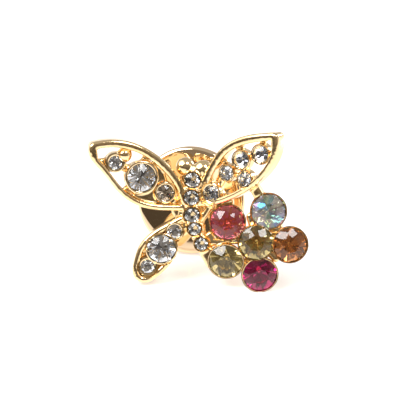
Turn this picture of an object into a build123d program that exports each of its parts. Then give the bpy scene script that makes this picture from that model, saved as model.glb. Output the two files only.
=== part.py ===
"""Butterfly brooch with cut stones and a post and clutch back. Lengths in millimetres, angles in degrees.

The casting is built lying flat: x to the right, y up the body and z towards the viewer, with its back at z = 0.
At the end it is leaned back until it rests on the lower left wing, the lowest cup and the clutch's rim.
"""
from build123d import *
import math
import os

os.makedirs("parts", exist_ok=True)

# wings
wing_tilt = 20.0          # each upper wing rises towards the viewer, away from the body
tail_wing_tilt = 10.0     # the same for the lower left wing
hinge_offset = 0.9        # from the body's axis to the line where a wing starts to rise
left_wing_length = 11.5
left_wing_height = 7.6
left_wing_foot = 0.5      # height of the wing's lower edge over the body's middle stone
right_wing_length = 9.75
right_wing_height = 9.0
right_wing_foot = 1.0
tail_wing_length = 5.7
tail_wing_height = 7.6
tail_wing_head = -0.3     # height of the lower wing's top over the body's middle stone
rim_height = 1.8
left_rim_width = 0.72
right_rim_width = 0.76
lower_rim_width = 0.5
rim_round = 0.16
web_height = 0.75
web_width = 0.8
tail_floor = 0.6
inner_points = 6          # points that carry each side of a wing's inner outline
loop_points = 14          # the same all round the lower wing
inner_start = 0.06        # stretch of the outline that the inner one follows, as shares of it
inner_end = 0.97
left_tip = (0.47, 0.56)   # where the inner outline turns at the tip, as shares of the outline
right_tip = (0.48, 0.57)

# body
body_length = 7.1         # from the first stone to the last
body_curve = 1.3          # how far the last stone stands to the right of the first
body_height = 2.0
body_top_x = -0.1
body_top_y = 3.95
bezel_wall = 0.16
spine_share = 0.9         # width of the body between its stones, as a share of them
head_radius = 0.55
head_rise = 1.05          # from the first stone to the head
head_side = 0.2           # the head stands this much to the right of the first stone
head_height = 1.4
ball_radius = 1.0
ball_rise = 1.3
ball_spread = 1.05
ball_height = 0.93
bead_radius = 0.8
bead_place = (0.647, 0.788)

# stones
body_stone = 1.65
tail_stone = 1.4
large_stone = 3.15
wing_stone = 1.85
small_stone = 1.55
flower_stone = 3.8
facets = 8
crown_share = 0.175       # crown height, table width and the rest, as shares of the diameter
table_share = 0.46
kite_share = 0.52         # from the centre to a kite's side corner, between table and girdle
girdle_share = 0.03
pavilion_share = 0.42
culet_share = 0.06
seat_gap = 0.03           # clearance of a stone in its cup
seat_reach = 3.6          # how far the room for a stone is kept clear in front of it
lip_height = 0.12
wall_thin = 0.16
wall_middle = 0.22
wall_thick = 0.30
hole_share = 0.4          # hole behind a wing's stone, as a share of the stone

# flower
flower_height = 2.0       # girdle of the outer stones over the casting's back
centre_rise = 0.65        # the middle stone stands this much prouder
petal_reach = 3.85        # from the middle stone to an outer one
flower_x = 7.4
flower_y = -2.45
flower_wall = 0.1
cup_base_share = 0.62     # a flower cup's base, as a share of its lip
cup_floor = 0.2
bar_width = 0.8
arm_share = 0.72          # length of the bars between the petals, as a share of petal_reach
arm_low = 0.3
arm_high = 1.4

# post and clutch
post_radius = 0.5
post_length = 8.8
post_taper = 0.7
post_root = 0.5           # how far the post and its pad reach up into the casting
point_share = 0.3         # radius of the post's point, as a share of the post
post_x = -1.45
post_y = 0.4
pad_radius = 1.15
pad_height = 0.4
clutch_gap = 5.4          # from the casting's back to the disc's face
disc_radius = 6.2
disc_depth = 1.1
disc_wall = 0.5
disc_round = 0.45
disc_dome = 0.35          # the disc's middle stands this much in front of its rim
boss_radius = 2.4
boss_height = 2.6
cap_radius = 3.4
cap_wall = 0.5
cap_round = 0.35
cap_gap = 0.03            # clearance of the cap on the disc's boss
bore_gap = 0.05           # clearance of the post in the clutch
stop_gap = 0.1            # from the post's tip to the bottom of the bore, with the clutch home

pose_steps = 8            # rounds of the search for the resting pose
first_lean = 17.0

# outline of each wing, as shares of its length and height
# columns: along, across (up for the upper wings, down for the lower one)
LEFT_WING = [
    (0.000, 0.140), (0.167, 0.559), (0.366, 0.820), (0.678, 1.000), (0.925, 0.980), (0.985, 0.940), (1.000, 0.870),
    (0.861, 0.540), (0.705, 0.260), (0.487, 0.053), (0.278, 0.000), (0.000, 0.000),
]
RIGHT_WING = [
    (0.000, 0.139), (0.118, 0.450), (0.311, 0.767), (0.601, 0.938), (0.900, 1.004), (0.980, 0.998), (1.000, 0.935),
    (0.976, 0.717), (0.795, 0.417), (0.451, 0.150), (0.161, 0.028), (0.000, 0.000),
]
TAIL_WING = [
    (0.123, 0.000), (0.531, 0.184), (0.745, 0.312), (0.908, 0.483), (0.990, 0.690), (1.000, 0.868), (0.920, 0.965),
    (0.740, 0.993), (0.540, 0.905), (0.294, 0.704), (0.180, 0.513), (0.161, 0.388), (0.057, 0.255), (0.000, 0.124),
]

# stones of the wings
# columns: name, along, across, diameter, girdle over the wing's back as a share of rim_height, wall of its cup
LEFT_STONES = [
    ("left_wing_stone_tip", 0.735, 0.673, small_stone, 0.58, wall_thick),
    ("left_wing_stone_large", 0.481, 0.465, large_stone, 0.83, wall_middle),
    ("left_wing_stone_root", 0.240, 0.243, wing_stone, 0.61, wall_middle),
]
RIGHT_STONES = [
    ("right_wing_stone_tip", 0.770, 0.730, wing_stone, 0.69, wall_thin),
    ("right_wing_stone_upper", 0.526, 0.632, wing_stone, 0.69, wall_thin),
    ("right_wing_stone_middle", 0.352, 0.451, small_stone, 0.67, wall_thin),
    ("right_wing_stone_lower", 0.586, 0.400, small_stone, 0.67, wall_thin),
    ("right_wing_stone_root", 0.162, 0.170, wing_stone, 0.61, wall_middle),
]
TAIL_STONES = [
    ("tail_wing_stone_top", 0.229, 0.233, small_stone, 0.53, wall_middle),
    ("tail_wing_stone_large", 0.470, 0.490, large_stone, 0.83, wall_thin),
    ("tail_wing_stone_tip", 0.725, 0.770, small_stone, 0.58, wall_thick),
]

# bars of the openwork, each from a stone to another stone or to a point of the rim
# columns: stone, end (stone, or shares along and across), width as a share of web_width
LEFT_BARS = [
    ("left_wing_stone_tip", (0.885, 0.640), 1.3),
    ("left_wing_stone_tip", "left_wing_stone_large", 1.0),
    ("left_wing_stone_tip", (0.644, 0.790), 1.4),
    ("left_wing_stone_large", (0.413, 0.800), 1.1),
    ("left_wing_stone_large", (0.629, 0.190), 1.3),
    ("left_wing_stone_large", (0.511, 0.110), 1.1),
    ("left_wing_stone_large", "left_wing_stone_root", 2.6),
    ("left_wing_stone_large", (0.365, 0.060), 2.2),
    ("left_wing_stone_root", (0.330, 0.620), 1.6),
    ("left_wing_stone_root", (0.246, 0.050), 2.0),
    ("left_wing_stone_root", (0.000, 0.120), 1.0),
    ("left_wing_stone_root", (0.060, 0.280), 0.6),
]
RIGHT_BARS = [
    ("right_wing_stone_tip", "right_wing_stone_upper", 0.6),
    ("right_wing_stone_tip", (0.950, 0.720), 0.8),
    ("right_wing_stone_tip", (0.760, 0.930), 0.6),
    ("right_wing_stone_upper", "right_wing_stone_middle", 0.6),
    ("right_wing_stone_upper", "right_wing_stone_lower", 0.6),
    ("right_wing_stone_upper", (0.450, 0.830), 0.9),
    ("right_wing_stone_middle", "right_wing_stone_lower", 0.5),
    ("right_wing_stone_middle", (0.260, 0.640), 0.6),
    ("right_wing_stone_middle", "right_wing_stone_root", 0.7),
    ("right_wing_stone_lower", (0.680, 0.330), 1.0),
    ("right_wing_stone_root", (0.170, 0.070), 2.0),
    ("right_wing_stone_root", (0.000, 0.090), 1.6),
    ("right_wing_stone_root", (0.030, 0.330), 0.8),
]

# stones of the body from the head down, as shares of the body's curve and length
# columns: name, right, down, diameter
BODY_STONES = [
    ("body_stone_1", 0.000, 0.000, body_stone),
    ("body_stone_2", -0.030, 0.278, body_stone),
    ("body_stone_3", 0.080, 0.554, body_stone),
    ("body_stone_4", 0.360, 0.768, tail_stone),
    ("body_stone_5", 1.000, 1.000, tail_stone),
]

# the two ball ends over the head, as shares of ball_spread and ball_rise from the first stone
# columns: right, up
BALLS = [(-1.00, 1.00), (0.93, 0.86)]

# the flower's stones round the middle one; reach is a share of petal_reach, lean turns the stone's face
# columns: name, angle round the flower, reach, lean to the right, lean upwards
PETALS = [
    ("rose_stone", 150.0, 1.010, 6.0, 9.0),
    ("aurora_stone", 72.0, 0.955, 14.0, 10.0),
    ("topaz_stone", -1.0, 0.960, 18.0, 4.0),
    ("ruby_stone", -82.0, 0.965, 14.0, -9.0),
    ("olive_stone_lower", 216.0, 1.080, 4.0, -9.0),
]
centre_lean = (5.0, 1.0)

# corners of the joints between wings, body and flower, as shares of body_length from the body's middle stone
# columns: name, right, up
CORNERS = [
    ("left_root", -0.127, 0.063),
    ("tail_root", -0.152, -0.099),
    ("tail_neck", -0.300, -0.400),
    ("right_root", 0.270, 0.140),
    ("waist", 0.130, -0.085),
    ("right_rim", 0.960, 0.510),
    ("rose_rim", 0.540, 0.290),
    ("olive_side", 0.348, -0.744),
]
# bars between them; share says how far towards the end the bar goes
# columns: start, end, share, width as a share of bar_width, bottom and top as shares of body_height
JOINING_BARS = [
    ("right_rim", "aurora_stone", 0.65, 1.30, 0.45, 1.20),
    ("rose_stone", "rose_rim", 1.00, 1.40, 0.30, 0.75),
    ("body_stone_5", "olive_side", 1.00, 1.85, 0.00, 0.80),
    ("body_stone_5", "rose_stone", 0.30, 1.20, 0.00, 0.75),
    ("body_stone_5", "olive_stone_centre", 0.45, 0.80, 0.00, 0.75),
    ("right_root", "waist", 1.00, 0.75, 0.00, 0.85),
    ("waist", "body_stone_4", 1.00, 0.75, 0.00, 0.85),
    ("left_root", "tail_root", 1.00, 1.60, 0.00, 0.70),
    ("body_stone_3", "tail_root", 1.00, 1.40, 0.00, 0.60),
    ("body_stone_4", "tail_neck", 1.00, 0.60, 0.00, 0.60),
]


def polar(radius, angle, z=0.0):
    """Point on a circle about the z axis."""
    return Vector(radius * math.cos(math.radians(angle)), radius * math.sin(math.radians(angle)), z)


def polygon_face(points):
    return Face(Wire.make_polygon(points, close=True))


def cut_stone(diameter):
    """Round stone with the top of its girdle at z = 0: table, star, kite and girdle facets, and a cut pavilion."""
    radius = diameter / 2
    crown = crown_share * diameter
    table = table_share * radius
    low = -girdle_share * diameter
    step = 360 / facets
    half = step / 2
    # the kite's side corners lie in the plane through a table corner and the girdle
    middle_radius = table + kite_share * (radius - table)
    middle_z = crown * (radius - middle_radius * math.cos(math.radians(half))) / (radius - table)
    top = [polar(table, step * i, crown) for i in range(facets)]
    middle = [polar(middle_radius, step * i + half, middle_z) for i in range(facets)]
    girdle = [polar(radius, half * i) for i in range(2 * facets)]
    under = [polar(radius, half * i, low) for i in range(2 * facets)]
    point = [polar(culet_share * radius, step * i, low - pavilion_share * diameter) for i in range(facets)]
    faces = [polygon_face(top), polygon_face(point)]
    for i in range(facets):
        after = (i + 1) % facets
        corner = (2 * i + 2) % (2 * facets)
        faces.append(polygon_face([top[i], middle[i], top[after]]))
        faces.append(polygon_face([top[i], middle[i - 1], middle[i]]))
        faces.append(polygon_face([middle[i - 1], girdle[2 * i], middle[i]]))
        faces.append(polygon_face([middle[i], girdle[2 * i], girdle[2 * i + 1]]))
        faces.append(polygon_face([middle[i], girdle[2 * i + 1], girdle[corner]]))
        faces.append(polygon_face([under[2 * i], under[2 * i + 1], point[i]]))
        faces.append(polygon_face([under[2 * i + 1], point[after], point[i]]))
        faces.append(polygon_face([under[2 * i + 1], under[corner], point[after]]))
    for i in range(2 * facets):
        after = (i + 1) % (2 * facets)
        faces.append(polygon_face([girdle[i], girdle[after], under[after], under[i]]))
    return Solid(Shell(faces))


def turned(profile):
    """Solid of revolution about z from (radius, z) corners."""
    return revolve(polygon_face([(r, 0, z) for r, z in profile]), Axis.Z)


def seat(diameter, open_back=0.0):
    """Room that a stone and its clearance take, open in front; open_back cuts on through the back."""
    radius = diameter / 2 + seat_gap
    low = -girdle_share * diameter - seat_gap
    tip_radius = culet_share * diameter / 2 + seat_gap
    tip = low - pavilion_share * diameter
    if open_back:
        hole = hole_share * radius
        mouth = tip + (low - tip) * (hole - tip_radius) / (radius - tip_radius)
        start = [(0, -open_back), (hole, -open_back), (hole, mouth)]
    else:
        start = [(0, tip), (tip_radius, tip)]
    return turned(start + [(radius, low), (radius, seat_reach), (0, seat_reach)])


def cup(diameter, wall, foot):
    """Straight cup round a stone, from foot below the girdle to the lip above it."""
    radius = diameter / 2 + seat_gap + wall
    return turned([(0, -foot), (radius, -foot), (radius, lip_height), (0, lip_height)])


def flower_cup(diameter):
    """Flared cup of a flower stone, closed at its base."""
    lip = diameter / 2 + seat_gap + flower_wall
    base = -(girdle_share + pavilion_share) * diameter - seat_gap - cup_floor
    waist = -girdle_share * diameter - 2 * seat_gap
    return turned([(0, base), (cup_base_share * lip, base), (lip, waist), (lip, lip_height), (0, lip_height)])


def bar(start, end, width, low, high):
    """Round-ended bar between two points of the plane."""
    (x1, y1), (x2, y2) = start, end
    length = math.hypot(x2 - x1, y2 - y1)
    turn = math.degrees(math.atan2(y2 - y1, x2 - x1))
    shape = extrude(SlotCenterToCenter(length, width), high - low)
    return Location(((x1 + x2) / 2, (y1 + y2) / 2, low), (0, 0, turn)) * shape


def inset(edge, share, distance):
    """Point at a distance to the left of an edge, at a share of its length."""
    along = edge % share
    return edge @ share + Vector(-along.Y, along.X, 0) * distance


def rounded_slab(outline):
    """The outline raised to the rim's height, with a rounded front edge."""
    slab = extrude(outline, rim_height)
    return fillet(slab.faces().sort_by(Axis.Z)[-1].edges(), rim_round)


def dome(radius, behind=0.0):
    """Point on the disc's domed face, or on the surface a distance behind it."""
    sphere = (disc_radius ** 2 + disc_dome ** 2) / (2 * disc_dome)
    return Vector(radius, 0, math.sqrt(sphere ** 2 - radius ** 2) - sphere - behind)


def dome_arc(start, stop, behind=0.0):
    return ThreePointArc(dome(start, behind), dome((start + stop) / 2, behind), dome(stop, behind))


def spread(start, stop, count):
    return [start + (stop - start) * i / (count - 1) for i in range(count)]


def rimmed_wing(rows, length, height, foot, side, rim_width, tip):
    """Ring of an upper wing, and the slab that its openwork is trimmed to."""
    points = [(side * along * length, foot + across * height) for along, across in rows]
    edge = Spline(*points)
    outline = make_face([edge, Line(points[-1], points[0])])
    upper = [inset(edge, share, -side * rim_width) for share in spread(inner_start, tip[0], inner_points)]
    lower = [inset(edge, share, -side * lower_rim_width) for share in spread(tip[1], inner_end, inner_points)]
    opening = make_face([Spline(*upper), Line(upper[-1], lower[0]), Spline(*lower), Line(lower[-1], upper[0])])
    return rounded_slab(outline) - extrude(opening, rim_height), extrude(outline, web_height)


def closed_wing(rows, length, height, head):
    """Lower wing: a raised rim round a thick floor."""
    edge = Spline(*[(-along * length, head - across * height) for along, across in rows], periodic=True)
    inner = Spline(*[inset(edge, i / loop_points, lower_rim_width) for i in range(loop_points)], periodic=True)
    hollow = extrude(make_face([inner]), rim_height - tail_floor)
    return rounded_slab(make_face([edge])) - hollow.moved(Location((0, 0, tail_floor)))


def wing_plane(side, tilt):
    """Plane of a wing that rises towards the viewer on the left (-1) or right (1) of the body."""
    run = math.cos(math.radians(tilt))
    rise = math.sin(math.radians(tilt))
    return Plane(origin=(side * hinge_offset, 0, 0), x_dir=(run, 0, side * rise), z_dir=(-side * rise, 0, run))


def add_wing(plane, shapes, stones, bars, length, height, foot, side, web=None):
    """Put a wing's metal, the room for its stones and the stones in place."""
    places = {name: (side * along * length, foot + across * height) for name, along, across, *rest in stones}
    shapes = list(shapes)
    for name, along, across, diameter, girdle_place, wall in stones:
        girdle = girdle_place * rim_height
        spot = plane.location * Location(places[name] + (girdle,))
        metal.append(spot * cup(diameter, wall, girdle))
        rooms.append(spot * seat(diameter, girdle))
        gems[name] = spot * cut_stone(diameter)
    for start, end, share in bars:
        stop = places[end] if end in places else (side * end[0] * length, foot + end[1] * height)
        shapes.append(bar(places[start], stop, share * web_width, 0, web_height) & web)
    metal.extend(plane.location * shape for shape in shapes)


metal = []
rooms = []
gems = {}

# upper wings
left_plane = wing_plane(-1, wing_tilt)
ring, web = rimmed_wing(LEFT_WING, left_wing_length, left_wing_height, left_wing_foot, -1, left_rim_width, left_tip)
bead = Sphere(bead_radius).moved(Location((-bead_place[0] * left_wing_length,
                                           left_wing_foot + bead_place[1] * left_wing_height, bead_radius)))
add_wing(left_plane, [ring, bead], LEFT_STONES, LEFT_BARS, left_wing_length, left_wing_height, left_wing_foot,
         -1, web)
right_plane = wing_plane(1, wing_tilt)
ring, web = rimmed_wing(RIGHT_WING, right_wing_length, right_wing_height, right_wing_foot, 1, right_rim_width,
                        right_tip)
add_wing(right_plane, [ring], RIGHT_STONES, RIGHT_BARS, right_wing_length, right_wing_height, right_wing_foot,
         1, web)

# lower left wing
tail_plane = wing_plane(-1, tail_wing_tilt)
tail_wing = closed_wing(TAIL_WING, tail_wing_length, tail_wing_height, tail_wing_head)
add_wing(tail_plane, [tail_wing], TAIL_STONES, [], tail_wing_length, -tail_wing_height, tail_wing_head, -1)

# body, with its head and the two ball ends
spine = {}
for name, right, down, diameter in BODY_STONES:
    x, y = body_top_x + right * body_curve, body_top_y - down * body_length
    spine[name] = (x, y, diameter)
    spot = Location((x, y, body_height))
    metal.append(spot * cup(diameter, bezel_wall, body_height))
    rooms.append(spot * seat(diameter))
    gems[name] = spot * cut_stone(diameter)
links = list(spine.values())
for (x1, y1, d1), (x2, y2, d2) in zip(links, links[1:]):
    metal.append(bar((x1, y1), (x2, y2), min(d1, d2) * spine_share, 0, body_height))
metal.append(Sphere(head_radius).moved(Location((body_top_x + head_side, body_top_y + head_rise, head_height))))
for right, up in BALLS:
    spot = Location((body_top_x + right * ball_spread, body_top_y + up * ball_rise, ball_height), (0, 90, 0))
    metal.append(Sphere(ball_radius).moved(spot))

# flower
flower = {"olive_stone_centre": (flower_x, flower_y, flower_height + centre_rise) + centre_lean}
for name, angle, reach, right, up in PETALS:
    spot = polar(reach * petal_reach, angle)
    flower[name] = (flower_x + spot.X, flower_y + spot.Y, flower_height, right, up)
flower_cups = {}
for name, (x, y, z, right, up) in flower.items():
    normal = (math.sin(math.radians(right)), math.sin(math.radians(up)), 1)
    spot = Plane(origin=(x, y, z), x_dir=(1, 0, -normal[0]), z_dir=normal).location
    flower_cups[name] = spot * flower_cup(flower_stone)
    metal.append(flower_cups[name])
    rooms.append(spot * seat(flower_stone))
    gems[name] = spot * cut_stone(flower_stone)
centre = (flower_x, flower_y)
for i, (name, angle, *rest) in enumerate(PETALS):
    gap = (angle - PETALS[(i + 1) % len(PETALS)][1]) % 360
    arm = polar(arm_share * petal_reach, angle - gap / 2)
    metal.append(bar(centre, flower[name][:2], bar_width, arm_low, arm_high))
    metal.append(bar(centre, (flower_x + arm.X, flower_y + arm.Y), bar_width, arm_low, arm_high))

# bars that join wings, body and flower
places = {name: (right * body_length, up * body_length) for name, right, up in CORNERS}
places.update({name: spot[:2] for name, spot in {**flower, **spine}.items()})
for start, end, share, width, low, high in JOINING_BARS:
    (x1, y1), (x2, y2) = places[start], places[end]
    stop = (x1 + share * (x2 - x1), y1 + share * (y2 - y1))
    metal.append(bar((x1, y1), stop, width * bar_width, low * body_height, high * body_height))

# post with its pad
post = turned([(0, post_root), (post_radius, post_root), (post_radius, post_taper - post_length),
               (point_share * post_radius, -post_length), (0, -post_length)])
pad = turned([(0, post_root), (pad_radius, post_root), (pad_radius, -pad_height), (0, -pad_height)])
metal += [shape.moved(Location((post_x, post_y, 0))) for shape in (post, pad)]

frame = metal[0].fuse(*metal[1:])
frame = frame.cut(*rooms)

# clutch, with the disc's face at z = 0 and its back below
bore = post_radius + bore_gap
boss_end = -disc_wall - boss_height
rim_inner = disc_radius - disc_wall
rim_back = dome(disc_radius).Z - disc_depth
front = dome_arc(bore, disc_radius)
back = dome_arc(boss_radius, rim_inner, disc_wall)
flank = Polyline(dome(disc_radius), (disc_radius, 0, rim_back), (rim_inner, 0, rim_back), dome(rim_inner, disc_wall))
hub = Polyline(dome(boss_radius, disc_wall), (boss_radius, 0, boss_end), (bore, 0, boss_end), dome(bore))
disc = revolve(make_face([front, flank, back, hub]), Axis.Z)
disc = fillet(disc.edges().filter_by(GeomType.CIRCLE).filter_by(lambda edge: edge.radius > disc_radius - bore_gap),
              disc_round)
cap_top = dome(cap_radius, disc_wall).Z - cap_gap
bore_end = clutch_gap - post_length - stop_gap
cap_end = bore_end - cap_wall
cap_room = boss_radius + cap_gap
cap = turned([(cap_room, cap_top), (cap_radius, cap_top), (cap_radius, cap_end), (0, cap_end), (0, bore_end),
              (bore, bore_end), (bore, boss_end - cap_gap), (cap_room, boss_end - cap_gap)])
cap = fillet(cap.edges().filter_by(GeomType.CIRCLE).filter_by(lambda edge: edge.radius > cap_room).sort_by(Axis.Z)[0],
             cap_round)

home = Location((post_x, post_y, -clutch_gap))
pieces = {"brooch_frame": frame, "clutch_disc": disc.moved(home), "clutch_cap": cap.moved(home), **gems}


# rest the whole on its three feet: the lowest cup, the tip of the lower left wing and the clutch's rim
def leaned(shape, turn, lean):
    """Turn a shape in its own plane, then stand it up to within lean of the vertical."""
    return Location((0, 0, 0), (90 - lean, 0, 0)) * Location((0, 0, 0), (0, 0, turn)) * shape


def lowest(shape, turn, lean):
    return leaned(shape, turn, lean).bounding_box().min.Z


wing_foot = tail_plane.location * tail_wing
cup_foot = flower_cups["ruby_stone"]
rim_foot = pieces["clutch_disc"]
span = flower_x + tail_wing_length
depth = clutch_gap + disc_depth + flower_height
turn, lean = 0.0, first_lean
for step in range(pose_steps):
    front = lowest(cup_foot, turn, lean)
    turn += math.degrees((lowest(wing_foot, turn, lean) - front) / span)
    front = lowest(cup_foot, turn, lean)
    lean += math.degrees((lowest(rim_foot, turn, lean) - front) / depth)
pieces = {name: leaned(shape, turn, lean) for name, shape in pieces.items()}
boxes = [shape.bounding_box() for shape in pieces.values()]
middle_x = (min(box.min.X for box in boxes) + max(box.max.X for box in boxes)) / 2
middle_y = (min(box.min.Y for box in boxes) + max(box.max.Y for box in boxes)) / 2
floor_z = min(box.min.Z for box in boxes)
stand = Location((-middle_x, -middle_y, -floor_z))
print("turn", round(turn, 3), "lean", round(lean, 3), "shift", [round(value, 3) for value in stand.position])
for name, shape in pieces.items():
    export_step(stand * shape, f"parts/{name}.step")
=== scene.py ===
import math

import bmesh
import bpy
import numpy as np
from mathutils import Matrix, Vector, noise


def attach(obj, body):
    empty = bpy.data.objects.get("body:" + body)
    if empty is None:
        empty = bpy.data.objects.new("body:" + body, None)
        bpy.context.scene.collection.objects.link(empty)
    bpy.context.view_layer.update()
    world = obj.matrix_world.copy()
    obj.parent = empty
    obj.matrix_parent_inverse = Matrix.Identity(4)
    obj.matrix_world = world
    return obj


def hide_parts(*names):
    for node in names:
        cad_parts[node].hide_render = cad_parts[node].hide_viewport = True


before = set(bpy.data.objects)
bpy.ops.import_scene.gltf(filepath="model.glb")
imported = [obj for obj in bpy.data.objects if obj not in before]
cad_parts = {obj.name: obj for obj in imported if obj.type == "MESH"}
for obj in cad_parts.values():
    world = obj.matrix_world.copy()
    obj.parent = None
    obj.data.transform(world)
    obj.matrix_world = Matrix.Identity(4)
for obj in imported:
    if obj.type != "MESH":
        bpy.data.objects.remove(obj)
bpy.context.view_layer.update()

MM = 0.001                             # a millimetre in metres
TINY = 1e-6
SHARP = math.radians(40)

# nodes of the frame
FLOWER = ("rose_stone", "aurora_stone", "olive_stone_centre", "topaz_stone", "olive_stone_lower",
          "ruby_stone")
BODY = tuple(f"body_stone_{number}" for number in range(1, 6))
RIGHT = tuple(f"right_wing_stone_{place}" for place in ("tip", "upper", "middle", "lower"))
GEMS = [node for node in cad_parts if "stone" in node]

# camera, from the stones' places in the photograph
CAM_AZIMUTH = 9.48
CAM_ELEVATION = 25.05
CAM_DISTANCE = 250.0                   # millimetres
CAM_CLIP = (0.01, 10.0)                # metres
PX_PER_MM = 9.025                      # at the stone that the camera aims at
AIM_STONE = "body_stone_3"
AIM_PX = (191.5, 215.6)                # where the photograph has the middle of its table
FRAME_PX = 400                         # width and height of the photograph
SENSOR = 36.0

# studio, a grey tent round a white floor, open towards the dim room behind the camera
TENT = (0.50, 0.48, 0.46)
BACKDROP = (0.66, 0.65, 0.64)
ROOM = (0.25, 0.215, 0.18)
ROOM_LOW = (0.08, 0.065, 0.05)         # near the floor
GLOW = (1.9, 1.85, 1.8)
SEEN = (1.05, 1.05, 1.05)              # what the camera itself sees
GLOW_DIRECTION = (-0.70, -0.08, 0.70)
ROOM_AZIMUTH = -6.0                    # middle of the room, in degrees
# where each part of the studio begins to fade and where it has faded, in degrees
ROOM_SIDE = (62.0, 82.0)
ROOM_TOP = (40.0, 58.0)
ROOM_LOW_TOP = (5.0, 14.0)
BACKDROP_SIDE = (105.0, 125.0)
BACKDROP_TOP = (8.0, 20.0)
GLOW_SIZE = (25.0, 32.0)
SOFTBOX_DISTANCE = 0.30                # metres
# columns: name, direction from the brooch, width and height in metres, radiance
SOFTBOXES = [
    ("softbox_left", (-0.50, -0.36, 0.79), (0.17, 0.16), 11.0),
    ("softbox_right", (0.45, -0.25, 0.86), (0.11, 0.10), 11.0),
    ("softbox_back", (0.66, 0.71, 0.26), (0.10, 0.07), 7.0),
]
FLOOR_HALF = 0.6                       # metres
FLOOR_COLOUR = (0.62, 0.61, 0.60)
FLOOR_ROUGHNESS = 0.18
FLOOR_GLOW = (1.0, 0.95, 0.92)
FLOOR_GLOW_STRENGTH = 0.50

# noise of the materials, as scales a metre and the bands that its values are spread over
GOLD_DRIFT = 420.0
GOLD_PATCHES = 900.0
GLASS_DRIFT = 260.0
FILM_DRIFT = 700.0
FOIL_DULLNESS = 1500.0
BAND = (0.3, 0.7)
GOLD_BAND = (0.35, 0.65)

# glass and foil
GLASS_IOR = 1.56
FILM_IOR = 2.0
GLASS_DEEP = 0.92                      # share of its colour that glass has where it is darker
CLEAR_COLOUR = (0.93, 0.95, 0.97)
FOIL_ROUGHNESS = (0.02, 0.08)

# stones, as shares of the radius
CROWN = 0.34                           # height of the table above the girdle
TABLE = 0.46
KITE = 0.52                            # place of the stars' points between table and girdle
GIRDLE = 0.05                          # height of the girdle's facets
GIRDLE_FROM = 0.99                     # share of a solid's radius beyond which its corners are the girdle's
SCALLOP = 0.8                          # most of the girdle that the pavilion's facets may cut into
PAVILION_BEVEL = 0.020
CROWN_BEVEL = 0.012
CROWN_EDGES = 0.3                      # share of the crown's height above which edges are bevelled
SIDES = 8                              # corners of the table, and facets of the pavilion

# cups, in millimetres
CUP_GAP = 0.02
CUP_WALL = dict.fromkeys(GEMS, 0.25) | dict.fromkeys(RIGHT, 0.17) | dict.fromkeys(BODY + FLOWER, 0.08)
CUP_WALL |= {"left_wing_stone_tip": 0.33, "tail_wing_stone_tip": 0.33, "tail_wing_stone_large": 0.19}
CUP_LIP = dict.fromkeys(GEMS, 0.13) | dict.fromkeys(FLOWER, 0.10) | dict.fromkeys(BODY, 0.04)
LIP_INSIDE = (0.25, 0.04)              # rounding of the lip: share of the wall, and millimetres down
LIP_OUTSIDE = (0.30, 0.045)
LIP_BULGE = 0.012                      # how far a lip stands out at the girdle's height
BORE_DEPTH = 0.10                      # where the bore begins to narrow towards the seat
SEAT_DEPTH = 0.35
SEAT_WIDTH = 0.25
FOOT_WIDTH = 0.10
CUP_DEPTH = 0.75                       # all depths are below the girdle
# cups of the flower, whose outside narrows to a foot
CONE = 0.9                             # depth as a share of the stone's radius
CONE_SPARE = 0.2                       # further depth, in millimetres
CONE_TOP = 0.17                        # depth at which the outside begins to narrow
CONE_FLOOR = 0.05                      # thickness of the floor, and chamfer round the foot
CONE_FOOT = 0.62                       # share of the lip's radius that the foot has
CUP_SEGMENTS = 96

# grains and beads, in millimetres
# columns: nearest stone, right, up and out from the middle of its girdle, radius
GRAINS = [
    ("left_wing_stone_tip", 1.01, 0.87, -0.24, 0.80),
    ("tail_wing_stone_tip", 1.30, -0.05, -0.35, 0.24),
    ("tail_wing_stone_tip", 1.05, -0.60, -0.35, 0.18),
    ("tail_wing_stone_tip", -0.55, 1.25, -0.35, 0.22),
    ("tail_wing_stone_tip", -0.30, 1.75, -0.35, 0.18),
    ("tail_wing_stone_large", 1.30, -1.20, -0.60, 0.20),
]
BEAD = 0.20
BEAD_SIDE = 0.74                       # distance from the body's middle, as a share of its stones' radius

# clutch, in millimetres, with the middle of the disc's face at z = 0
DISC = 6.2                             # radius
DISC_DOME = 0.20                       # how far the middle stands proud of the edge
DISC_ROUND = 0.45                      # radius of the rolled rim
DISC_ROUND_START = 80.0                # degrees, where the rim's rounding leaves the dome
DISC_WALL = 0.5
DISC_DEPTH = 1.1
DOME_STEPS = 14
BORE = 0.55                            # radius
BOSS = 2.4                             # radius
BOSS_END = -3.1
CAP = 3.4                              # radius
CAP_GAP = 0.03                         # between cap and disc
CAP_END = -4.0
CAP_FLOOR = 0.5                        # thickness behind the post's tip
CAP_EDGE = 0.1
CAP_ROUND = 0.35
CLUTCH_SEGMENTS = 192

# casting, in millimetres
WELD = 0.0005                          # corners nearer than this are joined
VOXEL = 0.075
SOFTENING = 45                         # rounds of smoothing
SOFTENING_STEP = 0.5
KEPT = 0.37                            # share of the triangles left by the thinning
SWELL = 0.080                          # gives back what the smoothing takes
RIPPLE = 0.012                         # height of the skin's unevenness
RIPPLE_SIZE = 0.55
TUCK = 0.30                            # depth below the girdle that the casting keeps inside a cup
TUCK_WALL = 0.05                       # kept between the casting and a cup's surfaces
TUCK_SPARE = 0.15                      # further depth, beyond the cone's share, that is tucked
POST = 0.5                             # radius
POST_REACH = 0.7                       # radius within which the casting is taken as the post
POST_ROOT = 4.2                        # height above the disc's face from which the post may flare
POST_FLARE = 0.3                       # growth of its radius for each millimetre above the root


# materials
def new_material(name):
    """Node material with one Principled shader; gives the material, its nodes, its links and the shader."""
    material = bpy.data.materials.new(name)
    material.use_nodes = True
    nodes, links = material.node_tree.nodes, material.node_tree.links
    return material, nodes, links, nodes["Principled BSDF"]


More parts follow.
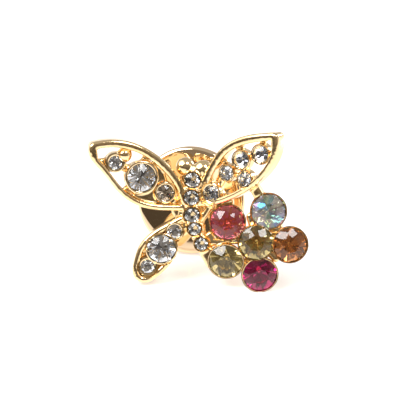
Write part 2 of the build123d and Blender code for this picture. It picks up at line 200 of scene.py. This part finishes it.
def noise_node(nodes, links, scale, detail=3.0):
    """Noise that moves with the piece."""
    where = nodes.new("ShaderNodeTexCoord")
    made = nodes.new("ShaderNodeTexNoise")
    made.inputs["Scale"].default_value = scale
    made.inputs["Detail"].default_value = detail
    links.new(where.outputs["Object"], made.inputs["Vector"])
    return made.outputs["Fac"]


def ramp_node(nodes, links, source, band, colours):
    """From the first colour to the second as the source crosses the band."""
    ramp = nodes.new("ShaderNodeValToRGB")
    for element, place, colour in zip(ramp.color_ramp.elements, band, colours):
        element.position = place
        element.color = (*colour, 1.0)
    links.new(source, ramp.inputs["Fac"])
    return ramp.outputs["Color"]


def range_node(nodes, links, source, band, ends, interpolation="LINEAR"):
    """From the first end to the second as the source crosses the band."""
    made = nodes.new("ShaderNodeMapRange")
    made.interpolation_type = interpolation
    for socket, value in zip(("From Min", "From Max", "To Min", "To Max"), (*band, *ends)):
        made.inputs[socket].default_value = value
    links.new(source, made.inputs["Value"])
    return made.outputs["Result"]


def gold(name, light, deep, roughness, grain=None):
    """Gold plate, uneven in colour and gloss; grain is a bump's height in metres and its noise's scale."""
    material, nodes, links, shader = new_material(name)
    shader.inputs["Metallic"].default_value = 1.0
    drift = noise_node(nodes, links, GOLD_DRIFT)
    links.new(ramp_node(nodes, links, drift, GOLD_BAND, (deep, light)), shader.inputs["Base Color"])
    patches = noise_node(nodes, links, GOLD_PATCHES, detail=4.0)
    links.new(range_node(nodes, links, patches, BAND, roughness), shader.inputs["Roughness"])
    if grain:
        height, scale = grain
        bump = nodes.new("ShaderNodeBump")
        bump.inputs["Distance"].default_value = height
        links.new(noise_node(nodes, links, scale, detail=2.0), bump.inputs["Height"])
        links.new(bump.outputs["Normal"], shader.inputs["Normal"])
    return material


def glass(name, colour, film=None):
    """Cut glass whose colour shifts slightly; film is the range of an iridescent coat's thickness in nm."""
    material, nodes, links, shader = new_material(name)
    shader.inputs["Transmission Weight"].default_value = 1.0
    shader.inputs["Roughness"].default_value = 0.0
    shader.inputs["IOR"].default_value = GLASS_IOR
    drift = noise_node(nodes, links, GLASS_DRIFT, detail=1.0)
    deep = [GLASS_DEEP * channel for channel in colour]
    links.new(ramp_node(nodes, links, drift, BAND, (deep, colour)), shader.inputs["Base Color"])
    if film:
        thickness = noise_node(nodes, links, FILM_DRIFT, detail=1.0)
        links.new(range_node(nodes, links, thickness, BAND, film), shader.inputs["Thin Film Thickness"])
        shader.inputs["Thin Film IOR"].default_value = FILM_IOR
    return material


def foil():
    """Silvered back of a stone; each facet's colour comes from the mesh and paints that facet's light and
    shade.
    """
    material, nodes, links, shader = new_material("foil")
    shader.inputs["Metallic"].default_value = 1.0
    dull = noise_node(nodes, links, FOIL_DULLNESS, detail=2.0)
    links.new(range_node(nodes, links, dull, BAND, FOIL_ROUGHNESS), shader.inputs["Roughness"])
    # painted light and shade: the foil's colour is read per facet, lighter on some facets and darker on
    # others
    facet_shading = nodes.new("ShaderNodeAttribute")
    facet_shading.attribute_name = "facet_light_and_shade"
    links.new(facet_shading.outputs["Color"], shader.inputs["Base Color"])
    return material


GOLD = gold("gold_casting", light=(0.95, 0.74, 0.44), deep=(0.92, 0.67, 0.35), roughness=(0.08, 0.18),
            grain=(0.000008, 2600.0))
GOLD_LIP = gold("gold_lips", light=(0.95, 0.75, 0.47), deep=(0.93, 0.70, 0.39), roughness=(0.06, 0.14),
                grain=(0.000004, 1800.0))
GOLD_MIRROR = gold("gold_clutch", light=(0.94, 0.73, 0.48), deep=(0.93, 0.70, 0.46), roughness=(0.02, 0.06))
CLEAR = glass("clear_glass", CLEAR_COLOUR)
FOIL = foil()

# foil colour behind each pavilion facet, going round the pavilion: painted light and shade, lighter and
# darker facets standing for a cut stone's glints and dark reflections; the lists of the flower's stones
# also carry each stone's own hue
PALE = [(1.0, 1.0, 1.0), (0.80, 0.82, 0.86), (1.0, 1.0, 1.0), (0.92, 0.93, 0.96),
        (0.55, 0.56, 0.60), (1.0, 0.98, 0.95), (0.85, 0.87, 0.90), (1.0, 1.0, 1.0)]
MIXED = [(1.0, 0.99, 0.97), (0.60, 0.59, 0.58), (0.95, 0.94, 0.93), (0.38, 0.37, 0.36),
         (0.86, 0.85, 0.84), (0.48, 0.47, 0.46), (1.0, 0.99, 0.97), (0.63, 0.62, 0.61)]
GREY = [(0.95, 0.95, 0.95), (0.45, 0.46, 0.50), (0.85, 0.86, 0.90), (0.25, 0.26, 0.29),
        (0.70, 0.71, 0.76), (0.35, 0.36, 0.40), (0.90, 0.90, 0.92), (0.50, 0.51, 0.55)]
DARK = [(0.46, 0.46, 0.48), (0.34, 0.34, 0.36), (0.42, 0.42, 0.44), (0.28, 0.28, 0.30)]
WARM_SHADES = [(0.85, 0.76, 0.66), (0.55, 0.49, 0.42), (0.92, 0.85, 0.76), (0.62, 0.56, 0.48)]
ROSE = [(1.0, 1.0, 1.0), (1.0, 0.92, 0.92)]
AURORA = [(1.0, 1.0, 1.0), (1.0, 0.96, 1.0), (0.85, 0.95, 1.0), (1.0, 1.0, 0.88),
          (1.0, 0.98, 0.85), (0.75, 1.0, 0.80), (0.72, 0.88, 1.0), (0.88, 0.86, 1.0)]
OLIVE = [(1.0, 0.95, 0.85), (0.85, 0.8, 0.7)]
TOPAZ = [(1.0, 0.92, 0.82), (0.8, 0.7, 0.6)]
RUBY = [(1.0, 0.9, 0.95), (0.85, 0.75, 0.8)]

# clear stones, which share one glass; their foil colours are painted light and shade of the facets, the
# left wing's root stone gets warmer foil, and two stones of the right wing get darker foil all over
CLEAR_FOIL_SHADES = dict.fromkeys(GEMS, PALE) | dict.fromkeys(BODY, MIXED)
CLEAR_FOIL_SHADES |= {"left_wing_stone_root": WARM_SHADES, "right_wing_stone_root": GREY}
CLEAR_FOIL_SHADES |= {"right_wing_stone_tip": DARK, "right_wing_stone_upper": DARK}
CLEAR_DEPTH = 0.94
CLEAR_SPIN = 37.0                      # degrees from one stone to the next

# stones of the flower
# columns: glass colour, foil colours (painted light and shade of the facets, with the stone's own hue),
# spin in degrees, iridescent film, depth as a share of the radius
STONES = {
    "rose_stone": ((1.0, 0.21, 0.31), ROSE, 35.0, None, 0.94),
    "aurora_stone": ((0.92, 0.97, 1.0), AURORA, 27.0, (112.0, 168.0), 0.82),
    "olive_stone_centre": ((0.60, 0.53, 0.26), OLIVE, 15.0, None, 0.94),
    "topaz_stone": ((0.74, 0.35, 0.12), TOPAZ, -5.0, None, 0.93),
    "olive_stone_lower": ((0.60, 0.53, 0.27), OLIVE, 25.0, None, 0.90),
    "ruby_stone": ((0.50, 0.015, 0.14), RUBY, 12.0, None, 0.92),
}


# places, from the CAD nodes
def thin_axis(node):
    """Corners of a node, their middle, and the direction in which the node is thinnest."""
    points = np.array([vertex.co[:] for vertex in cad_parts[node].data.vertices])
    points = np.unique(points.round(decimals=7), axis=0)
    middle = points.mean(0)
    return points, middle, np.linalg.eigh(np.cov((points - middle).T))[1][:, 0]


def stone_place(node):
    """Middle of a stone's girdle, its axis towards the table and its radius in millimetres."""
    points, middle, axis = thin_axis(node)
    along = (points - middle) @ axis
    radii = np.linalg.norm(points - middle - np.outer(along, axis), axis=1)
    girdle = along[radii > radii.max() * GIRDLE_FROM]
    if along.max() - girdle.max() > girdle.min() - along.min():
        axis, along, girdle = -axis, -along, -girdle
    return Vector(middle + axis * girdle.max()), Vector(axis), float(radii.max()) / MM


def place_matrix(centre, axis, spin=0.0):
    """Takes a shape made in millimetres about Z at the origin to its place."""
    side = (Vector((1, 0, 0)) - axis * axis.x).normalized()
    turn = Matrix((side, axis.cross(side), axis)).transposed().to_4x4()
    spun = Matrix.Rotation(math.radians(spin), 4, "Z")
    return Matrix.Translation(centre) @ turn @ spun @ Matrix.Scale(MM, 4)


def clutch_place():
    """Takes millimetres about the disc's axis to the disc, with the middle of its face at z = 0."""
    points, middle, axis = thin_axis("clutch_disc")
    axis = -axis if axis[1] > 0 else axis
    return place_matrix(Vector(middle + axis * ((points - middle) @ axis).max()), Vector(axis))


PLACES = {node: stone_place(node) for node in GEMS}
CLUTCH = clutch_place()


# shapes
def link_object(name, mesh, materials, smooth):
    """Object of a mesh, with its materials, in the scene."""
    for material in materials:
        mesh.materials.append(material)
    mesh.polygons.foreach_set("use_smooth", [smooth] * len(mesh.polygons))
    if smooth:
        mesh.set_sharp_from_angle(angle=SHARP)
    made = bpy.data.objects.new(name, mesh)
    bpy.context.scene.collection.objects.link(made)
    return made


def from_bmesh(name, bm, materials, smooth=True):
    """Object of a bmesh, which is freed."""
    bmesh.ops.recalc_face_normals(bm, faces=bm.faces)
    mesh = bpy.data.meshes.new(name)
    bm.to_mesh(mesh)
    bm.free()
    return link_object(name, mesh, materials, smooth)


def ring(radius, z, count, start=0.0):
    """Points spread evenly on a circle about Z."""
    turns = [start + math.tau * i / count for i in range(count)]
    return [Vector((radius * math.cos(turn), radius * math.sin(turn), z)) for turn in turns]


def arc(centre, radius, start, stop, steps=8):
    """Corners of a rounding, from one angle to another in degrees."""
    turns = [math.radians(start + (stop - start) * i / steps) for i in range(steps + 1)]
    return [(centre[0] + radius * math.cos(turn), centre[1] + radius * math.sin(turn)) for turn in turns]


def lathe(name, profile, place, material, segments):
    """Closed solid turned from (radius, z) corners; a corner on the axis becomes one point."""
    bm = bmesh.new()
    columns = []
    for radius, z in profile:
        if radius == 0:
            columns.append([bm.verts.new((0, 0, z))] * segments)
        else:
            columns.append([bm.verts.new(point) for point in ring(radius, z, segments)])
    for one, other in zip(columns, columns[1:] + columns[:1]):
        for i in range(segments):
            j = (i + 1) % segments
            corners = list(dict.fromkeys((one[i], other[i], other[j], one[j])))
            if len(corners) > 2:
                bm.faces.new(corners)
    bm.transform(place)
    return from_bmesh(name, bm, [material])


def ball(name, centre, radius):
    """Small gold bead of the casting; its place and radius in millimetres."""
    bm = bmesh.new()
    bmesh.ops.create_uvsphere(bm, u_segments=24, v_segments=16, radius=radius)
    bm.transform(Matrix.Scale(MM, 4) @ Matrix.Translation(centre))
    made = from_bmesh(name, bm, [GOLD_LIP])
    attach(made, "brooch")


# stones
def cut_stone(node, glass_material, foil_shades, spin, deep):
    """Brilliant with table, stars, kites and girdle facets, and a foiled pavilion, in its node's place."""
    centre, axis, radius = PLACES[node]
    crown, table, depth, edge = (share * radius for share in (CROWN, TABLE, deep, GIRDLE))
    half = math.pi / SIDES
    kite = table + KITE * (radius - table)
    kite_z = crown * (radius - kite * math.cos(half)) / (radius - table)
    low_points = ring(radius, -edge, 2 * SIDES)
    for point in low_points[1::2]:
        point.z += min((depth - edge) * (1 / math.cos(half) - 1), SCALLOP * edge)
    bm = bmesh.new()
    top = [bm.verts.new(point) for point in ring(table, crown, SIDES)]
    middle = [bm.verts.new(point) for point in ring(kite, kite_z, SIDES, half)]
    girdle = [bm.verts.new(point) for point in ring(radius, 0, 2 * SIDES)]
    low = [bm.verts.new(point) for point in low_points]
    culet = bm.verts.new((0, 0, -depth))
    bm.faces.new(top)
    for i in range(SIDES):
        j = (2 * i + 2) % (2 * SIDES)
        before, after = middle[i - 1], middle[i]
        bm.faces.new((top[i], after, top[(i + 1) % SIDES]))
        bm.faces.new((top[i], before, girdle[2 * i], after))
        bm.faces.new((after, girdle[2 * i], girdle[2 * i + 1]))
        bm.faces.new((after, girdle[2 * i + 1], girdle[j]))
    for i in range(2 * SIDES):
        j = (i + 1) % (2 * SIDES)
        bm.faces.new((girdle[i], low[i], low[j], girdle[j]))
    # painted light and shade: each pavilion facet's foil gets the next colour of the list, some lighter and
    # some darker, standing for glints and dark reflections
    facet_shading = bm.loops.layers.float_color.new("facet_light_and_shade")
    for i in range(SIDES):
        j = (2 * i + 2) % (2 * SIDES)
        face = bm.faces.new((low[2 * i], culet, low[j], low[2 * i + 1]))
        face.material_index = 1
        for loop in face.loops:
            loop[facet_shading] = (*foil_shades[i % len(foil_shades)], 1.0)
    bmesh.ops.recalc_face_normals(bm, faces=bm.faces)
    spokes = [e for e in bm.edges if culet in e.verts]
    bmesh.ops.bevel(bm, geom=spokes, offset=PAVILION_BEVEL * radius, segments=1, affect="EDGES", material=1)
    rim = [e for e in bm.edges if min(v.co.z for v in e.verts) > CROWN_EDGES * crown]
    bmesh.ops.bevel(bm, geom=rim, offset=CROWN_BEVEL * radius, segments=1, affect="EDGES", material=0)
    bm.transform(place_matrix(centre, axis, spin))
    return from_bmesh(node + "_cut", bm, [glass_material, FOIL], smooth=False)


def make_stone(node):
    """A stone of the flower in its own glass, or a clear one."""
    if node in STONES:
        colour, foil_shades, spin, film, deep = STONES[node]
        made = cut_stone(node, glass(node + "_glass", colour, film), foil_shades, spin, deep)
    else:
        made = cut_stone(node, CLEAR, CLEAR_FOIL_SHADES[node], CLEAR_SPIN * GEMS.index(node), CLEAR_DEPTH)
    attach(made, "brooch")
    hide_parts(node)


# cups round the stones
def cup_sizes(node):
    """Radius of a cup's bore, wall of its lip, and the share of the lip's radius that its foot has."""
    return PLACES[node][2] + CUP_GAP, CUP_WALL[node], CONE_FOOT if node in FLOWER else 1.0


def make_cup(node):
    """Turned cup: a cone with a floor for the flower's stones, an open ring with a seat for the others."""
    centre, axis, radius = PLACES[node]
    bore, wall, foot = cup_sizes(node)
    lip = bore + wall
    top = CUP_LIP[node]
    inside = [(bore + LIP_INSIDE[0] * wall, top), (bore, top - LIP_INSIDE[1]), (bore, -BORE_DEPTH)]
    if node in FLOWER:
        base = -CONE * radius - CONE_SPARE
        floor = base + CONE_FLOOR
        outside = [(0, base), (foot * lip - CONE_FLOOR, base), (foot * lip, floor), (lip, -CONE_TOP)]
        inside += [(0, floor)]
    else:
        outside = [(bore - FOOT_WIDTH, -CUP_DEPTH), (lip, -CUP_DEPTH)]
        inside += [(bore - SEAT_WIDTH, -SEAT_DEPTH)]
    outside += [(lip + LIP_BULGE, 0.0), (lip, top - LIP_OUTSIDE[1]), (lip - LIP_OUTSIDE[0] * wall, top)]
    made = lathe("cup_" + node, outside + inside, place_matrix(centre, axis), GOLD_LIP, CUP_SEGMENTS)
    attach(made, "brooch")


# casting, softened as cast metal is
def tuck(points, node):
    """Hide the softened casting inside a cup's wall, so that only the turned cup shows there."""
    centre, axis, radius = PLACES[node]
    bore, wall, foot = cup_sizes(node)
    slope = bore / (CONE * radius)
    base = -CONE * radius - TUCK_SPARE
    local = (points - np.array(centre)) / MM
    z = local @ np.array(axis)
    flat = local - np.outer(z, np.array(axis))
    far = np.maximum(np.linalg.norm(flat, axis=1), TINY)
    share = np.clip(z / base, 0, 1) if node in FLOWER else 0 * z
    outer = (bore + wall) * (1 - (1 - foot) * share)
    near = (far < outer + TUCK_WALL) & (z > base)
    high = near & (z > -TUCK)
    inner = np.where(high, bore - slope * TUCK, np.clip(bore + slope * z, 0, bore))
    farthest = outer - TUCK_WALL
    nearest = np.minimum(inner + TUCK_WALL, farthest)
    new_far = np.where(near, np.clip(far, nearest, farthest), far)
    new_z = np.where(high, -TUCK, z)
    moved = flat * (new_far / far)[:, None] + np.outer(new_z, np.array(axis))
    return np.where(near[:, None], np.array(centre) + moved * MM, points)


def trim_post(points):
    """Bring the softened post back to its true radius, so that it runs free in the clutch's bore."""
    place, inverse = np.array(CLUTCH), np.array(CLUTCH.inverted())
    local = points @ inverse[:3, :3].T + inverse[:3, 3]
    far = np.maximum(np.hypot(local[:, 0], local[:, 1]), TINY)
    limit = POST + POST_FLARE * np.maximum(local[:, 2] - POST_ROOT, 0)
    share = np.where(far < POST_REACH, np.minimum(limit / far, 1), 1)
    local[:, :2] *= share[:, None]
    return local @ place[:3, :3].T + place[:3, 3]


def soft_skin():
    """Mesh of the casting in millimetres, remeshed, smoothed, thinned and swollen."""
    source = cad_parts["brooch_frame"].data.copy()
    source.transform(Matrix.Scale(1 / MM, 4))
    bm = bmesh.new()
    bm.from_mesh(source)
    bmesh.ops.remove_doubles(bm, verts=bm.verts, dist=WELD)
    bm.to_mesh(source)
    bm.free()
    work = bpy.data.objects.new("work", source)
    bpy.context.scene.collection.objects.link(work)
    skin = work.modifiers.new("skin", "REMESH")
    skin.mode = "VOXEL"
    skin.voxel_size = VOXEL
    soften = work.modifiers.new("soften", "SMOOTH")
    soften.factor = SOFTENING_STEP
    soften.iterations = SOFTENING
    thin = work.modifiers.new("thin", "DECIMATE")
    thin.ratio = KEPT
    swell = work.modifiers.new("swell", "DISPLACE")
    swell.mid_level = 0.0
    swell.strength = SWELL
    mesh = bpy.data.meshes.new_from_object(work.evaluated_get(bpy.context.evaluated_depsgraph_get()))
    bpy.data.objects.remove(work)
    mesh.validate()
    return mesh


def make_casting():
    """The soldered casting with a slight ripple, tucked into its cups and true at its post."""
    mesh = soft_skin()
    count = len(mesh.vertices)
    points, normals = np.empty(count * 3), np.empty(count * 3)
    mesh.vertices.foreach_get("co", points)
    mesh.vertex_normals.foreach_get("vector", normals)
    points, normals = points.reshape(-1, 3), normals.reshape(-1, 3)
    ripple = np.array([noise.noise(Vector(point) / RIPPLE_SIZE) for point in points])
    points = (points + normals * (RIPPLE * ripple)[:, None]) * MM
    for node in GEMS:
        points = tuck(points, node)
    points = trim_post(points)
    mesh.vertices.foreach_set("co", points.ravel())
    mesh.update()
    mesh.materials.clear()
    made = link_object("casting", mesh, [GOLD], True)
    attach(made, "brooch")
    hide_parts("brooch_frame")


def make_grains():
    """The large bead of the upper left wing and the grains of the lower one."""
    for number, (stone, right, above, out, radius) in enumerate(GRAINS):
        centre, axis, _ = PLACES[stone]
        ball(f"grain_{number}", place_matrix(centre, axis) @ Vector((right, above, out)) / MM, radius)


def make_beads():
    """A bead at each side between one stone of the body and the next."""
    for upper, lower in zip(BODY, BODY[1:]):
        (start, axis, radius), (end, _, small) = PLACES[upper], PLACES[lower]
        middle = (start + end) / 2 / MM
        across = axis.cross((end - start).normalized())
        for side in (-1, 1):
            centre = middle + across * side * BEAD_SIDE * (radius + small) / 2
            ball(f"bead_{upper[-1]}_{side + 1}", centre, BEAD)


# clutch
def dome(radius, behind=0.0):
    """Corner on the disc's domed face, or on the surface behind it."""
    sphere = (DISC ** 2 + DISC_DOME ** 2) / (2 * DISC_DOME)
    return radius, math.sqrt(sphere ** 2 - radius ** 2) - sphere - behind


def clutch_piece(name, profile):
    """Piece of the clutch, turned about the disc's axis."""
    made = lathe(name, profile, CLUTCH, GOLD_MIRROR, CLUTCH_SEGMENTS)
    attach(made, "clutch")
    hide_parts("clutch_" + name)


def make_disc():
    """Domed disc with a rolled rim, and the boss behind it."""
    edge = DISC - DISC_ROUND
    inner = DISC - DISC_WALL
    back = dome(DISC)[1] - DISC_DEPTH
    front = [dome(BORE + (edge - BORE) * i / DOME_STEPS) for i in range(DOME_STEPS)]
    rim = arc((edge, dome(edge)[1] - DISC_ROUND), DISC_ROUND, DISC_ROUND_START, 0)
    rim += arc((edge, back + DISC_ROUND), DISC_ROUND, 0, -90)
    behind = [dome(inner + (BOSS - inner) * i / DOME_STEPS, DISC_WALL) for i in range(DOME_STEPS + 1)]
    clutch_piece("disc", front + rim + [(inner, back)] + behind + [(BOSS, BOSS_END), (BORE, BOSS_END)])


def make_cap():
    """Cap over the boss, closed behind the post's tip."""
    room = BOSS + CAP_GAP
    top = dome(CAP)[1] - DISC_WALL - CAP_GAP
    floor = CAP_END + CAP_FLOOR
    step = BOSS_END - CAP_GAP
    outside = arc((CAP - CAP_EDGE, top - CAP_EDGE), CAP_EDGE, 90, 0)
    outside += arc((CAP - CAP_ROUND, CAP_END + CAP_ROUND), CAP_ROUND, 0, -90)
    inside = [(0, floor), (BORE, floor), (BORE, step), (room, step)]
    clutch_piece("cap", [(room, top)] + outside + [(0, CAP_END)] + inside)


# floor
def make_floor():
    """Plain pale floor with a faint glow of its own."""
    corners = [(-FLOOR_HALF, -FLOOR_HALF, 0), (FLOOR_HALF, -FLOOR_HALF, 0),
               (FLOOR_HALF, FLOOR_HALF, 0), (-FLOOR_HALF, FLOOR_HALF, 0)]
    mesh = bpy.data.meshes.new("floor")
    mesh.from_pydata(corners, [], [(0, 1, 2, 3)])
    material, _, _, shader = new_material("floor")
    shader.inputs["Base Color"].default_value = (*FLOOR_COLOUR, 1.0)
    shader.inputs["Roughness"].default_value = FLOOR_ROUGHNESS
    shader.inputs["Emission Color"].default_value = (*FLOOR_GLOW, 1.0)
    shader.inputs["Emission Strength"].default_value = FLOOR_GLOW_STRENGTH
    floor = link_object("floor", mesh, [material], False)


# studio light
def math_node(nodes, links, operation, first, second=None):
    """Math node; each input is a socket or a number."""
    made = nodes.new("ShaderNodeMath")
    made.operation = operation
    for socket, value in zip(made.inputs, (first, second)):
        if isinstance(value, (int, float)):
            socket.default_value = value
        elif value is not None:
            links.new(value, socket)
    return made.outputs[0]


def mix_node(nodes, links, factor, first, second):
    """From the first colour to the second as factor goes from 0 to 1; each is a socket or a colour."""
    made = nodes.new("ShaderNodeMix")
    made.data_type = "RGBA"
    links.new(factor, made.inputs["Factor"])
    for socket, value in zip((made.inputs["A"], made.inputs["B"]), (first, second)):
        if isinstance(value, tuple):
            socket.default_value = (*value, 1.0)
        else:
            links.new(value, socket)
    return made.outputs["Result"]


def make_world():
    """The room, the tent, the backdrop and a bright patch, as the brooch reflects them."""
    world = bpy.data.worlds.new("studio")
    bpy.context.scene.world = world
    world.use_nodes = True
    nodes, links = world.node_tree.nodes, world.node_tree.links

    def fade(angle, band):
        """1 before the band and 0 beyond it; the angle is in radians, the band in degrees."""
        limits = [math.radians(degrees) for degrees in band]
        return range_node(nodes, links, angle, limits, (1.0, 0.0), "SMOOTHSTEP")

    direction = nodes.new("ShaderNodeTexCoord").outputs["Generated"]
    split = nodes.new("ShaderNodeSeparateXYZ")
    links.new(direction, split.inputs[0])
    forward = math_node(nodes, links, "MULTIPLY", split.outputs["Y"], -1.0)
    azimuth = math_node(nodes, links, "ARCTAN2", split.outputs["X"], forward)
    turned = math_node(nodes, links, "SUBTRACT", azimuth, math.radians(ROOM_AZIMUTH))
    across = math_node(nodes, links, "ABSOLUTE", turned)
    height = math_node(nodes, links, "ARCSINE", split.outputs["Z"])
    room = math_node(nodes, links, "MULTIPLY", fade(across, ROOM_SIDE), fade(height, ROOM_TOP))
    behind = math_node(nodes, links, "SUBTRACT", 1.0, fade(across, BACKDROP_SIDE))
    backdrop = math_node(nodes, links, "MULTIPLY", behind, fade(height, BACKDROP_TOP))
    towards = nodes.new("ShaderNodeVectorMath")
    towards.operation = "DOT_PRODUCT"
    links.new(direction, towards.inputs[0])
    towards.inputs[1].default_value = Vector(GLOW_DIRECTION).normalized()
    glow = fade(math_node(nodes, links, "ARCCOSINE", towards.outputs["Value"]), GLOW_SIZE)
    dim = mix_node(nodes, links, fade(height, ROOM_LOW_TOP), ROOM, ROOM_LOW)
    light = mix_node(nodes, links, room, TENT, dim)
    light = mix_node(nodes, links, backdrop, light, BACKDROP)
    light = mix_node(nodes, links, glow, light, GLOW)
    seen = nodes.new("ShaderNodeLightPath").outputs["Is Camera Ray"]
    links.new(mix_node(nodes, links, seen, light, SEEN), nodes["Background"].inputs["Color"])


def softbox(name, direction, size, radiance):
    """Rectangular light that faces the brooch."""
    data = bpy.data.lights.new(name, "AREA")
    data.shape = "RECTANGLE"
    data.size, data.size_y = size
    data.energy = radiance * math.pi * size[0] * size[1]
    box = bpy.data.objects.new(name, data)
    bpy.context.scene.collection.objects.link(box)
    direction = Vector(direction).normalized()
    box.location = direction * SOFTBOX_DISTANCE
    box.rotation_euler = direction.to_track_quat("Z", "Y").to_euler()


# camera
def place_camera():
    """Camera at the photograph's angle, with the table of one stone where the photograph has it."""
    azimuth, elevation = math.radians(CAM_AZIMUTH), math.radians(CAM_ELEVATION)
    level = math.cos(elevation)
    back = Vector((math.sin(azimuth) * level, -math.cos(azimuth) * level, math.sin(elevation)))
    right = Vector((math.cos(azimuth), math.sin(azimuth), 0))
    up = back.cross(right)
    centre, axis, radius = PLACES[AIM_STONE]
    aim = centre + axis * CROWN * radius * MM
    data = bpy.data.cameras.new("camera")
    data.sensor_width = SENSOR
    data.lens = SENSOR * PX_PER_MM * CAM_DISTANCE / FRAME_PX
    data.clip_start, data.clip_end = CAM_CLIP
    camera = bpy.data.objects.new("camera", data)
    bpy.context.scene.collection.objects.link(camera)
    sideways = (FRAME_PX / 2 - AIM_PX[0]) / PX_PER_MM
    upwards = (AIM_PX[1] - FRAME_PX / 2) / PX_PER_MM
    camera.location = aim + (back * CAM_DISTANCE + right * sideways + up * upwards) * MM
    camera.rotation_euler = Matrix((right, up, back)).transposed().to_euler()
    bpy.context.scene.camera = camera


# the brooch and its studio
make_casting()
for node in GEMS:
    make_cup(node)
    make_stone(node)
make_grains()
make_beads()
make_disc()
make_cap()
make_floor()
bpy.context.scene.view_settings.view_transform = "Standard"
make_world()
for row in SOFTBOXES:
    softbox(*row)
place_camera()

bpy.context.view_layer.update()
